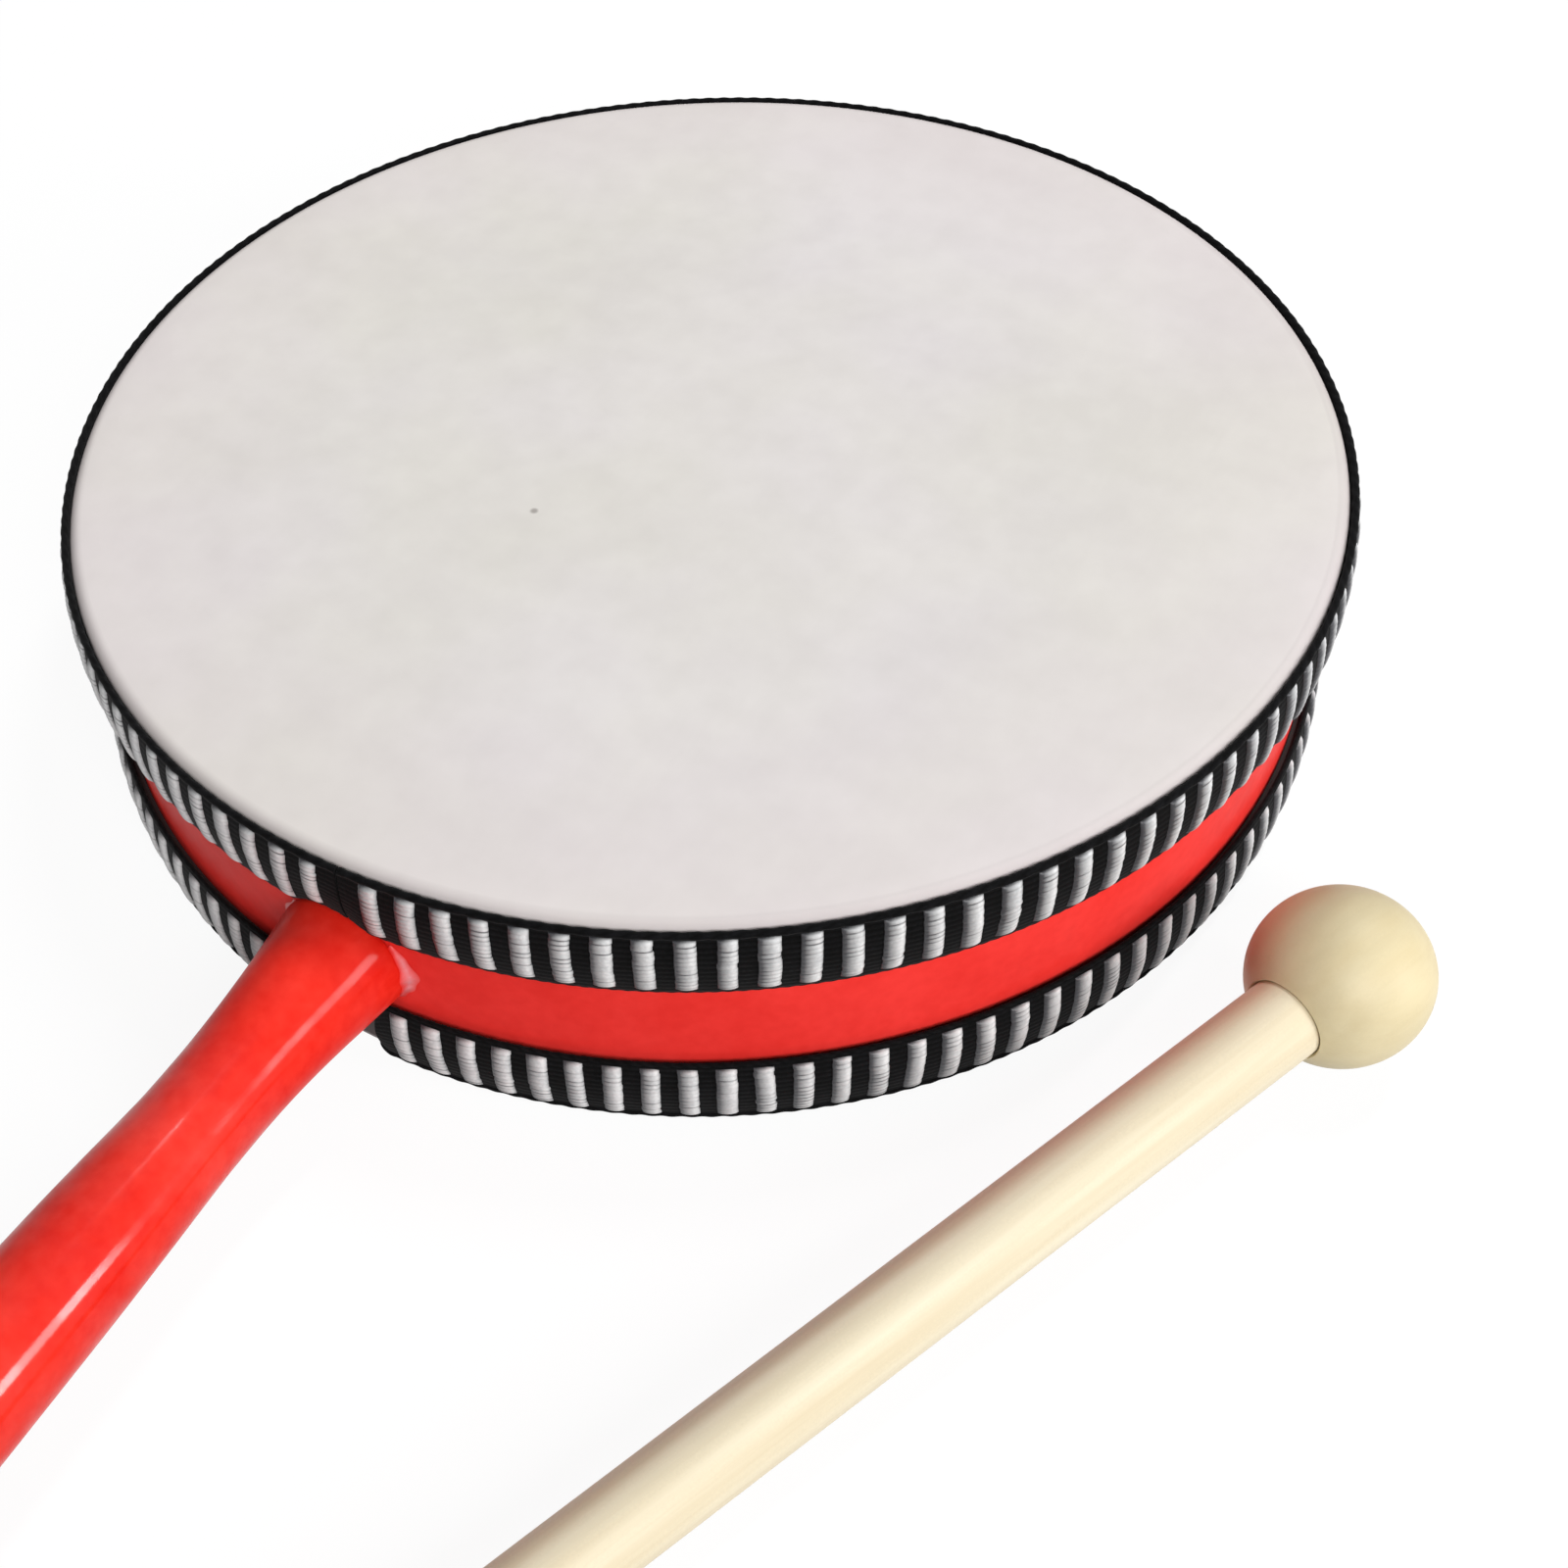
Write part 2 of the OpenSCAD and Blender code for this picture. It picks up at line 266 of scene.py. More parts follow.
# %% [markdown]
# Red lacquer covers the hoop and the handle. On the real drum it is thick, glossy and brushed on by
# hand, so the colour drifts between a warm and a deeper red and the highlights wander. One noise drives
# the tint, others make a shallow bump and the dull patches of a clear coat, which hands have polished
# along the grip.

# %% Red lacquer
GRIP_FROM, GRIP_TO = 15 * MM, 45 * MM
ROOT_POLISH, GRIP_POLISH = 0.6, 2.0
THUMB_AT, THUMB_REACH = 25 * MM, 9 * MM
DULL_PATCH, GLOSSY_PATCH = 0.38, 0.62


def red_lacquer(name, deep, warm, sheen, flank_shade, gloss):
    """Brushed glossy lacquer: drifting red, wandering highlights, and a coat that is dull in patches and is
    polished by hands along the grip, most where the thumb lies."""
    material, tree, shader = new_material(name, roughness=0.4, specular_ior_level=sheen, coat_roughness=0.11)
    place = object_place(tree)
    drift = mottle(tree, place, scale=90, fine_scale=700, share=0.4, dark=deep, light=warm)
    tree.links.new(drift["Color"], shader.inputs["Base Color"])
    patches = noise(tree, place, scale=210, detail=4, roughness=0.65)
    coat = span(tree, patches, DULL_PATCH, GLOSSY_PATCH, flank_shade, gloss)
    along = along_axis(tree, place, "Y")
    handled = span(tree, along, -(HOOP_R + GRIP_FROM), -(HOOP_R + GRIP_TO), ROOT_POLISH, GRIP_POLISH)
    thumb = span(tree, off_middle(tree, along, -(HOOP_R + THUMB_AT)), THUMB_REACH, THUMB_REACH / 2)
    polish = calculate(tree, "MULTIPLY", coat, calculate(tree, "ADD", handled, thumb))
    tree.links.new(polish, shader.inputs["Coat Weight"])
    lumps = noise(tree, place, scale=160, detail=2)
    peel = noise(tree, place, scale=1100, detail=2)
    under = bump(tree, shader, lumps, strength=0.3, distance=0.5 * MM)
    bump(tree, shader, peel, strength=0.06, distance=0.2 * MM, below=under)
    return material


HOOP_RED = red_lacquer("hoop_red_lacquer", deep=(0.79, 0.031, 0.025, 1), warm=(0.88, 0.044, 0.037, 1),
                       sheen=0.02, flank_shade=0.02, gloss=0.05)
HANDLE_RED = red_lacquer("handle_red_lacquer", deep=(0.74, 0.014, 0.007, 1), warm=(0.85, 0.035, 0.020, 1),
                         sheen=0.03, flank_shade=0.12, gloss=0.26)
print("lacquers", HOOP_RED.name, "and", HANDLE_RED.name)

# %% [markdown]
# Drum skin is scraped hide: off-white, matte, faintly pink towards its edge, with cloudy patches, short
# fibres and a stray dark speck. The pink is a function of the distance from the drum's axis. The bend at
# the rim gets a painted shade, and the collar under the tape is painted dark as painted shade.

# %% Drum skin
HIDE_DARK, HIDE_LIGHT = (0.722, 0.702, 0.682, 1), (0.795, 0.777, 0.757, 1)
YELLOWISH, ROSY = (1.0, 0.99, 0.955), (0.99, 0.965, 0.985)
PINK, PINK_SHARE = (0.77, 0.672, 0.665, 1), 0.5
PINK_FROM, PINK_TO = 45 * MM, 76 * MM
# painted shade for the bend at the rim, and how far it reaches
BEND_PAINTED_SHADE, BEND_SHARE = (0.34, 0.29, 0.29, 1), 0.45
BEND_FROM, BEND_TO = 73.3 * MM, 74.5 * MM
# painted shade for the skin's collar in the gap under the tape
COLLAR_PAINTED_SHADE = (0.03, 0.015, 0.015, 1)
COLLAR_SHADE_FROM, COLLAR_SHADE_TO = 0.5 * MM, 1.6 * MM
SPECK_PIXEL = (545, 521)
SPECK_BROWN, SPECK_SHARE = (0.12, 0.09, 0.08, 1), 0.55
SPECK_CORE, SPECK_EDGE = 0.25 * MM, 0.6 * MM
FIBRE_LIE, FIBRE_TURN = (300, 90, 300), (0, 0, 0.6)


def drum_skin():
    """Scraped hide: cloudy off-white that turns slightly pink towards the rim, with fine fibres and a speck.
    The bend at the rim gets a painted shade, and below it the collar is painted dark as painted shade."""
    material, tree, shader = new_material("drum_skin", roughness=0.62, ior=1.4)
    place = object_place(tree)
    cloud = mottle(tree, place, scale=28, fine_scale=190, share=0.45, dark=HIDE_DARK, light=HIDE_LIGHT)
    patch = noise(tree, place, scale=22, detail=3)
    hue = ramp(tree, patch, (0.35, YELLOWISH), (0.65, ROSY))
    hide = blend(tree, 1, cloud["Color"], hue, "MULTIPLY")
    reach = measure(tree, "LENGTH", measure(tree, "MULTIPLY", place, (1, 1, 0)))
    pink = calculate(tree, "MULTIPLY", span(tree, reach, PINK_FROM, PINK_TO, 0, PINK_SHARE), patch)
    tinted = blend(tree, pink, hide, PINK)
    # painted shade: the bend at the rim is greyed
    bend_shaded = blend(tree, span(tree, reach, BEND_FROM, BEND_TO, 0, BEND_SHARE), tinted, BEND_PAINTED_SHADE)
    off_mid = off_middle(tree, along_axis(tree, place, "Z"), MID_Z)
    # painted shade: the collar under the tape is painted dark
    collar_shade = span(tree, off_mid, MID_Z - COLLAR_SHADE_TO, MID_Z - COLLAR_SHADE_FROM, 1, 0)
    collar_shaded = blend(tree, collar_shade, bend_shaded, COLLAR_PAINTED_SHADE)
    off_speck = measure(tree, "DISTANCE", place, tuple(on_plane(SPECK_PIXEL, FACE_Z)))
    speck = span(tree, off_speck, SPECK_CORE, SPECK_EDGE, SPECK_SHARE, 0)
    tree.links.new(blend(tree, speck, collar_shaded, SPECK_BROWN), shader.inputs["Base Color"])
    lie = {"Vector": place, "Scale": FIBRE_LIE, "Rotation": FIBRE_TURN}
    fibres = noise(tree, add(tree, "ShaderNodeMapping", lie).outputs[0], scale=3, detail=5)
    bump(tree, shader, fibres, strength=0.12, distance=0.15 * MM)
    return material


SKIN = drum_skin()
print("skin with", len(SKIN.node_tree.nodes), "nodes")

# %% [markdown]
# The tape is woven from black yarn with blocks of white yarn. Both are cloth, so they are rough, and
# the loose fibres of the black yarn give it a soft sheen. The weave's own threads are modelled. An
# attribute holds painted shade, which darkens the yarn between two threads, in the cords' grooves and on
# the ends, edges and one flank of a white block.

# %% Black and white yarn
def yarn(name, dark, light, valley_tint, rough, shine, fuzz):
    """Twisted yarn: mottled colour, darkened by painted shade in the valleys, with a fine twist in its bump
    and some fuzz.
    """
    material, tree, shader = new_material(name, roughness=rough, specular_ior_level=shine, sheen_weight=fuzz)
    tone = mottle(tree, object_place(tree), scale=350, fine_scale=2600, share=0.5, dark=dark, light=light)
    # the attribute holds painted shade and mixes the colour towards a darker tint
    valley = add(tree, "ShaderNodeAttribute", attribute_name="valley").outputs["Fac"]
    tree.links.new(blend(tree, valley, tone["Color"], valley_tint), shader.inputs["Base Color"])
    bump(tree, shader, tone["Value"], strength=0.35, distance=0.08 * MM)
    return material


# the last tint of each yarn is its painted shade
BLACK_YARN = yarn("black_yarn", dark=(0.002, 0.002, 0.002, 1), light=(0.007, 0.007, 0.008, 1),
                  valley_tint=(0.001, 0.001, 0.001, 1), rough=0.7, shine=0.03, fuzz=0.04)
WHITE_YARN = yarn("white_yarn", dark=(0.66, 0.67, 0.68, 1), light=(0.92, 0.92, 0.92, 1),
                  valley_tint=(0.03, 0.03, 0.035, 1), rough=0.42, shine=0.5, fuzz=0.0)
print("yarns", BLACK_YARN.name, "and", WHITE_YARN.name)

# %% [markdown]
# Mallet wood is a pale, sanded, close-grained timber. Its grain runs along the stick, so the Object
# coordinates are turned with a Mapping node until one axis lies along the stick, then squeezed so that
# the noise draws long streaks. The mallet lies on the table on its ball and on the end of its stick,
# which gives the stick's slope.

# %% Mallet's axis and pale wood
BALL_R = 9.7 * MM
STICK_END_R = 4.0 * MM
STICK_ROUND = 1.6 * MM
MALLET_L = 190 * MM
BALL_APART = 6.7 * MM
BALL_BEARING, STICK_BEARING = radians(-14), radians(-111.8)
BALL_REACH = RIB_OUT_R + BALL_APART + BALL_R
BALL_AT = Vector((cos(BALL_BEARING), sin(BALL_BEARING), 0)) * BALL_REACH + Vector((0, 0, BALL_R))
STICK_END = MALLET_L - BALL_R
STICK_SLOPE = np.arcsin((BALL_R - STICK_END_R) / (STICK_END - STICK_ROUND))
LEVEL_RUN = cos(STICK_SLOPE)
STICK_DIR = Vector((cos(STICK_BEARING) * LEVEL_RUN, sin(STICK_BEARING) * LEVEL_RUN, -sin(STICK_SLOPE)))
STICK_TURN = STICK_DIR.to_track_quat("Z", "Y")
GRAIN = (420, 420, 14)


def pale_wood(name, dark, light, streak, ring):
    """Sanded pale wood: faint long streaks along the stick and soft growth rings across it."""
    material, tree, shader = new_material(name, roughness=0.5, ior=1.45)
    from_ball = measure(tree, "SUBTRACT", object_place(tree), tuple(BALL_AT))
    turn = tuple(STICK_TURN.inverted().to_euler())
    along = add(tree, "ShaderNodeMapping", {"Vector": from_ball, "Rotation": turn}).outputs[0]
    squeezed = add(tree, "ShaderNodeMapping", {"Vector": along, "Scale": GRAIN}).outputs[0]
    streaks = noise(tree, squeezed, scale=1, detail=5, roughness=0.6)
    base = ramp(tree, streaks, (0.3, dark), (0.7, light))
    growth = {"Vector": along, "Scale": 95, "Distortion": 3, "Detail": 2, "Detail Scale": 40}
    rings = add(tree, "ShaderNodeTexWave", growth, bands_direction="X").outputs["Color"]
    tree.links.new(blend(tree, ring, base, rings, "MULTIPLY"), shader.inputs["Base Color"])
    bump(tree, shader, streaks, strength=streak, distance=0.15 * MM)
    return material


STICK_WOOD = pale_wood("stick_wood", dark=(0.70, 0.59, 0.40), light=(0.82, 0.74, 0.56),
                       streak=0.25, ring=0.05)
BALL_WOOD = pale_wood("ball_wood", dark=(0.68, 0.57, 0.34), light=(0.73, 0.63, 0.40),
                      streak=0.03, ring=0.03)
print("ball at", [round(c / MM, 1) for c in BALL_AT], "mm")
print("stick slopes", round(float(np.degrees(STICK_SLOPE)), 2), "degrees")

# %% [markdown]
# Dried white glue and zinc-plated steel are small and mostly hidden, but they still get their own
# finish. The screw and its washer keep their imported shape, so the steel goes straight on them.

# %% Glue and steel
LACQUER_RED = (0.80, 0.025, 0.018, 1)
STAIN_DARK, STAIN_LIGHT = (0.74, 0.12, 0.13, 1), (0.79, 0.34, 0.37, 1)
ZINC_DARK, ZINC_LIGHT = (0.50, 0.50, 0.51, 1), (0.66, 0.66, 0.67, 1)
ZINC_SMOOTH, ZINC_ROUGH = 0.25, 0.42


def dried_glue():
    """Dried white glue, stained by the lacquer under it: red shows through where "thick" is low."""
    material, tree, shader = new_material("dried_glue", roughness=0.4, ior=1.45)
    place = object_place(tree)
    stain = mottle(tree, place, scale=300, fine_scale=1500, share=0.3, dark=STAIN_DARK, light=STAIN_LIGHT)
    thick = add(tree, "ShaderNodeAttribute", attribute_name="thick").outputs["Fac"]
    tree.links.new(blend(tree, thick, LACQUER_RED, stain["Color"]), shader.inputs["Base Color"])
    bump(tree, shader, stain["Value"], strength=0.3, distance=0.2 * MM)
    return material


def plated_steel():
    """Zinc-plated steel with a faint cloudiness."""
    material, tree, shader = new_material("plated_steel", metallic=1.0)
    place = object_place(tree)
    cloud = mottle(tree, place, scale=400, fine_scale=3000, share=0.4, dark=ZINC_DARK, light=ZINC_LIGHT)
    tree.links.new(cloud["Color"], shader.inputs["Base Color"])
    rough = span(tree, cloud["Value"], 0, 1, ZINC_SMOOTH, ZINC_ROUGH)
    tree.links.new(rough, shader.inputs["Roughness"])
    return material


GLUE = dried_glue()
STEEL = plated_steel()
for hidden_node in ("handle_screw", "screw_washer"):
    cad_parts[hidden_node].data.materials.clear()
    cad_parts[hidden_node].data.materials.append(STEEL)
    print(hidden_node, "has", STEEL.name)

# %% [markdown]
# A finished mesh becomes a piece in the same few steps each time: it is linked to the scene, gets its
# material, rides on a body and stands for the imported node that it replaces.
# The hoop is the one large piece whose imported shape is already right, with its drilled hole and washer
# seat. Its mesh is loose triangles, so a merged copy is shaded smooth and stands for the node.

# %% Hoop
LOOSE = 0.001 * MM


def place_piece(mesh, material, body, slot, *nodes):
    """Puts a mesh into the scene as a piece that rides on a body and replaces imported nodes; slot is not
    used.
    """
    made = bpy.data.objects.new(mesh.name, mesh)
    bpy.context.scene.collection.objects.link(made)
    mesh.materials.append(material)
    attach(made, body)
    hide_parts(*nodes)
    print(made.name, len(mesh.vertices), "points,", len(mesh.polygons), "faces")


def shade(mesh, sharp):
    """Smooth shading, with hard edges where two faces meet at more than an angle in degrees."""
    mesh.shade_smooth()
    mesh.set_sharp_from_angle(angle=radians(sharp))
    return mesh


def merged_copy(node, name, sharp):
    """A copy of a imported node's mesh with its loose triangles joined and smoothed up to an angle."""
    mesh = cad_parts[node].data.copy()
    mesh.name = name
    mesh.materials.clear()
    work = bmesh.new()
    work.from_mesh(mesh)
    bmesh.ops.remove_doubles(work, verts=work.verts, dist=LOOSE)
    work.to_mesh(mesh)
    work.free()
    if "custom_normal" in mesh.attributes:
        mesh.attributes.remove(mesh.attributes["custom_normal"])
    return shade(mesh, sharp)


place_piece(merged_copy("shell_hoop", "hoop", 35), HOOP_RED, "drum", "red_lacquer", "shell_hoop")

# %% [markdown]
# Every other surface here is a grid of points. One helper turns a grid into a closed mesh: it joins
# neighbours with quads, goes round where the surface is closed, fills the ends where it is a tube, and
# merges the points that meet at a pole. A signed volume tells whether the faces look outwards.

# %% Grid surfaces
SAME_POINT = 0.0001 * MM


def grid_faces(rows, columns, round_rows, round_columns):
    """Quads between neighbours of a rows by columns grid, going round where asked, as an array of indices."""
    index = np.arange(rows * columns).reshape(rows, columns)
    down = np.roll(index, -1, 0) if round_rows else index[1:]
    here = index if round_rows else index[:-1]
    if round_columns:
        quads = [here, down, np.roll(down, -1, 1), np.roll(here, -1, 1)]
    else:
        quads = [here[:, :-1], down[:, :-1], down[:, 1:], here[:, 1:]]
    return np.stack(quads, -1).reshape(-1, 4)


def surface(name, points, round_rows=False, round_columns=False, caps=False, sharp=50, **layers):
    """Mesh of one grid of points (rows, columns, 3) or of several equal grids (copies, rows, columns, 3).
    layers are named values per point, which the materials read as attributes."""
    points = np.asarray(points, float)
    if points.ndim == 3:
        points = points[None]
    copies, rows, columns = points.shape[:3]
    start = np.arange(copies)[:, None] * rows * columns
    faces = grid_faces(rows, columns, round_rows, round_columns) + start[..., None]
    faces = faces.reshape(-1, 4).tolist()
    if caps:
        first = start + np.arange(columns)[::-1]
        last = start + (rows - 1) * columns + np.arange(columns)
        faces += first.tolist() + last.tolist()
    mesh = bpy.data.meshes.new(name)
    mesh.from_pydata(points.reshape(-1, 3), [], faces)
    for layer, values in layers.items():
        made = mesh.attributes.new(layer, "FLOAT", "POINT")
        made.data.foreach_set("value", np.ascontiguousarray(values, np.float32).ravel())
    work = bmesh.new()
    work.from_mesh(mesh)
    bmesh.ops.remove_doubles(work, verts=work.verts, dist=SAME_POINT)
    bmesh.ops.dissolve_degenerate(work, edges=work.edges, dist=SAME_POINT)
    if work.calc_volume(signed=True) < 0:
        bmesh.ops.reverse_faces(work, faces=work.faces)
    work.to_mesh(mesh)
    work.free()
    return shade(mesh, sharp)


# %% [markdown]
# Much of a drum is turned, so its shapes start as flat outlines of straight runs and arcs that are
# carried round an axis. Nothing on a handmade toy is quite even either, and a few seeded sine waves
# give that.

# %% Outlines and unevenness
def turned(profile, turns):
    """Points of a turned surface: the profile's (radius, height) pairs carried round the Z axis."""
    angle = np.linspace(0, 2 * pi, turns, endpoint=False)[:, None]
    radius, height = profile.T
    level = np.broadcast_to(height, (turns, len(profile)))
    return np.stack([radius * np.cos(angle), radius * np.sin(angle), level], -1)


def stretch(points, step):
    """A polyline's points with others added between them, so that none lie further apart than step."""
    points = np.asarray(points, float)
    lengths = np.hypot(*np.diff(points, axis=0).T)
    counts = np.maximum(1, np.ceil(lengths / step)).astype(int)
    parts = [np.linspace(here, there, count, endpoint=False)
             for here, there, count in zip(points[:-1], points[1:], counts)]
    return np.concatenate(parts + [points[-1:]])


def arc(centre, radius, start, end, count):
    """Points on an arc of a circle from one angle to another, in degrees."""
    angle = np.radians(np.linspace(start, end, count))
    return np.stack([centre[0] + radius * np.cos(angle), centre[1] + radius * np.sin(angle)], -1)


def quarter(count):
    """Numbers from 0 to 1 that start close together: 1 less the cosine over a quarter turn."""
    return 1 - np.cos(np.linspace(0, pi / 2, count))


def waves(x, y, seed, count, longest, shortest):
    """A smooth uneven value, mostly between -1 and 1: the sum of sine waves with seeded lengths, directions
    and phases, over the root of their count."""
    draw = np.random.default_rng(seed)
    lengths = np.exp(draw.uniform(np.log(shortest), np.log(longest), count))
    headings, phases = draw.uniform(0, 2 * pi, (2, count))
    total = 0
    for length, heading, phase in zip(lengths, headings, phases):
        along = x * cos(heading) + y * sin(heading)
        total = total + np.sin(2 * pi * along / length + phase)
    return total / sqrt(count)


# %% [markdown]
# A head is a disc of skin that bends over the hoop's edge and runs down its side as a collar. Its
# section is a thin outline of straight runs and two concentric arcs, carried round the drum's axis.
# Real skin is never quite flat, so the playing face swells and dips by a few hundredths of a
# millimetre.

# %% Heads
GLUE_LINE = 0.05 * MM
SKIN_T = 0.6 * MM
EDGE_R = 0.7 * MM
COLLAR_H = 7.4 * MM
HEAD_TURNS = 256
BEND_POINTS = 9
OUTER_STEP, INNER_STEP = 2.5 * MM, 5 * MM
SKIN_WAVE = 0.03 * MM
CALM_RIM, CALM_REACH = 2 * MM, 12 * MM


def head_mesh(name, side):
    """A skin: outline from the centre of the face, over the bend, down the collar and back inside, turned
    round Z. The height of every point is shifted by the same waves, which die out towards the rim, so that
    the thickness stays."""
    bend = EDGE_R + GLUE_LINE + SKIN_T
    centre = (SKIN_R - bend, MID_Z - bend)
    collar_end = MID_Z - SKIN_T - GLUE_LINE - COLLAR_H
    over = arc(centre, bend, 90, 0, BEND_POINTS)
    under = arc(centre, bend - SKIN_T, 0, 90, BEND_POINTS)
    outside = np.concatenate([[(0, MID_Z)], over, [(SKIN_R, collar_end)]])
    inside = np.concatenate([[(SKIN_R - SKIN_T, collar_end)], under, [(0, MID_Z - SKIN_T)]])
    profile = np.concatenate([stretch(outside, OUTER_STEP), stretch(inside, INNER_STEP)])
    x, y, z = np.moveaxis(turned(profile, HEAD_TURNS), -1, 0)
    lift = waves(x, y, seed=7, count=9, longest=90 * MM, shortest=25 * MM)
    calm = np.clip((SKIN_R - CALM_RIM - np.hypot(x, y)) / CALM_REACH, 0, 1)
    points = np.stack([x, y, MID_Z + side * (z + SKIN_WAVE * lift * calm)], -1)
    return surface(name, points, round_rows=True, sharp=60)


place_piece(head_mesh("upper_skin", 1), SKIN, "drum", "skin", "upper_head")
place_piece(head_mesh("lower_skin", -1), SKIN, "drum", "skin", "lower_head")

# %% [markdown]
# The tapes cover the skins' collars. Each is a swollen band between two twisted edge cords, with rows
# of fine weft threads across it. A tape runs in a circle from cut end to cut end. The upper tape's ends
# meet beside the handle; the lower tape's ends stop apart under it, with rounded corners. Where the
# handle's root stands in a tape's way the tape is squeezed, so its near edge follows the root's circle.
# The tape is pulled tight round the drum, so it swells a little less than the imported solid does.

# %% Tape sizes
TAPE_IN_R = SKIN_R + GLUE_LINE
RIM_CORD_D, BAND_CORD_D = 0.9 * MM, 0.6 * MM
RIM_EDGE = TAPE_TOP_Z - MID_Z
BAND_EDGE = RIM_EDGE - TAPE_W
TAPE_T = 0.6 * MM
PULLED_IN = 0.35 * MM
SWELL = TAPE_OUT_R - TAPE_IN_R - TAPE_T - PULLED_IN
ROOT_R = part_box("handle")[1].x
ROOT_GAP = 0.3 * MM
HANDLE_BEARING = radians(-90)
UPPER_SEAM_TURN, LOWER_SEAM_TURN = radians(2), radians(0)
UPPER_SEAM_GAP, LOWER_SEAM_GAP = 0.3 * MM, 5.4 * MM
END_ROUND = 1.4 * MM
END_POINTS = 8
TAPES = (("upper", 1, HANDLE_BEARING + UPPER_SEAM_TURN, UPPER_SEAM_GAP),
         ("lower", -1, HANDLE_BEARING + LOWER_SEAM_TURN, LOWER_SEAM_GAP))


def tape_run(seam, gap, step):
    """Bearings from one cut end of a tape to the other, and how far its edges draw in at the rounded corners:
    corner minus the root of corner squared less the square of (corner minus the distance from the end)."""
    length = 2 * pi * TAPE_IN_R - gap
    corner = min(END_ROUND, gap / 2)
    ease = corner * quarter(END_POINTS)
    middle = np.linspace(corner, length - corner, int(length / step))
    along = np.concatenate([ease[:-1], middle, length - ease[-2::-1]])[:, None]
    left_over = np.clip(corner - np.minimum(along, length - along), 0, corner)
    return seam + (gap / 2 + along) / TAPE_IN_R, corner - np.sqrt(corner ** 2 - left_over ** 2)


def band_edge(bearing):
    """Height of the tape's edge at the red band: level, unless the handle's root pushes it up."""
    aside = np.abs(np.sin(bearing - HANDLE_BEARING)) * TAPE_OUT_R
    root = np.sqrt(np.clip((ROOT_R + ROOT_GAP) ** 2 - aside ** 2, 0, None))
    return np.where(np.cos(bearing - HANDLE_BEARING) > 0, np.maximum(BAND_EDGE, root), BAND_EDGE)


def rim_line(bearing, inset):
    """Height of the rim cord's middle."""
    return RIM_EDGE - RIM_CORD_D / 2 - inset + 0 * bearing


def band_line(bearing, inset):
    """Height of the band cord's middle."""
    return band_edge(bearing) + BAND_CORD_D / 2 + inset


def swollen(share):
    """How far the tape's middle stands out of its inner face at a share of its width, from 0 to 1."""
    return TAPE_T + SWELL * (1 - (2 * share - 1) ** 2)


def round_drum(radius, bearing, height, side):
    """Points at a radius and a bearing, at a height over the drum's middle (side 1) or under it (side -1)."""
    level = MID_Z + side * height + 0 * radius
    return np.stack([radius * np.cos(bearing), radius * np.sin(bearing), level], -1)


print("tape swells", round(SWELL / MM, 2), "mm")
print("upper tape is", round((2 * pi * TAPE_IN_R - UPPER_SEAM_GAP) / MM), "mm long")

# %% [markdown]
# The black ground is one closed band: its outer face has a ridge for each weft thread and its inner
# face is plain.

# %% Black ground of the tapes
GROUND_STEP = 0.42 * MM
WEFT_THREADS = 12
THREAD_POINTS = 4
THREAD_RISE = 0.05 * MM


def ground_mesh(name, side, seam, gap):
    """Band of tape: bearing along the rows; across the columns out over the swollen face and back along the
    inside. Each thread is one arch of a sine wave across the width."""
    bearing, inset = tape_run(seam, gap, GROUND_STEP)
    share = np.linspace(0, 1, WEFT_THREADS * THREAD_POINTS + 1)
    ridge = np.abs(np.sin(pi * WEFT_THREADS * share))
    top = rim_line(bearing, inset)
    low = band_line(bearing, inset)
    inner_z = np.concatenate([top, low], 1)
    outer_z = low + (top - low) * share
    inner_r = np.full(inner_z.shape, TAPE_IN_R)
    outer_r = np.broadcast_to(TAPE_IN_R + swollen(share) + THREAD_RISE * (ridge - 1), outer_z.shape)
    radius = np.concatenate([outer_r, inner_r], 1)
    points = round_drum(radius, bearing, np.concatenate([outer_z, inner_z], 1), side)
    # painted shade in the dips between the weft threads
    valley = np.concatenate([np.broadcast_to(1 - ridge, outer_z.shape), np.zeros(inner_z.shape)], 1)
    return surface(name, points, round_columns=True, caps=True, sharp=70, valley=valley)


for label, side, seam, gap in TAPES:
    ground = ground_mesh(label + "_tape_ground", side, seam, gap)
    place_piece(ground, BLACK_YARN, "drum", "black_tape", label + "_ribbon")

# %% [markdown]
# Each edge cord is two plies twisted together: a tube whose radius rises and falls twice round its
# section, with the pattern turning as it runs along. The attribute paints shade into the groove between
# the plies.

# %% Edge cords
PLY_TURN = 2.4
PLY_DEPTH = 0.1
PLY_SHADE = 0.7
CORD_COLUMNS = 12
CORD_STEP = 0.3 * MM
EDGES = (("_rim_cord", RIM_CORD_D, rim_line), ("_band_cord", BAND_CORD_D, band_line))


def cord_mesh(name, side, seam, gap, across, line):
    """Twisted edge cord: radius times (1 + depth cos(2(angle - twist))) round a path along the tape's edge.
    across is the cord's diameter, and line gives the height of its middle."""
    bearing, inset = tape_run(seam, gap, CORD_STEP)
    angle = np.linspace(0, 2 * pi, CORD_COLUMNS, endpoint=False)
    twist = pi * bearing * TAPE_IN_R / (PLY_TURN * across)
    ply = np.cos(2 * (angle - twist))
    size = across / 2 * (1 + PLY_DEPTH * ply) / (1 + PLY_DEPTH)
    radius = TAPE_IN_R + across / 2 + size * np.cos(angle)
    points = round_drum(radius, bearing, line(bearing, inset) + size * np.sin(angle), side)
    # painted shade in the groove between the plies
    groove_shade = PLY_SHADE * np.clip(-ply, 0, 1)
    return surface(name, points, round_columns=True, caps=True, sharp=80, valley=groove_shade)


for label, side, seam, gap in TAPES:
    for edge, across, line in EDGES:
        cord = cord_mesh(label + edge, side, seam, gap, across, line)
        place_piece(cord, BLACK_YARN, "drum", "black_tape", label + "_ribbon")
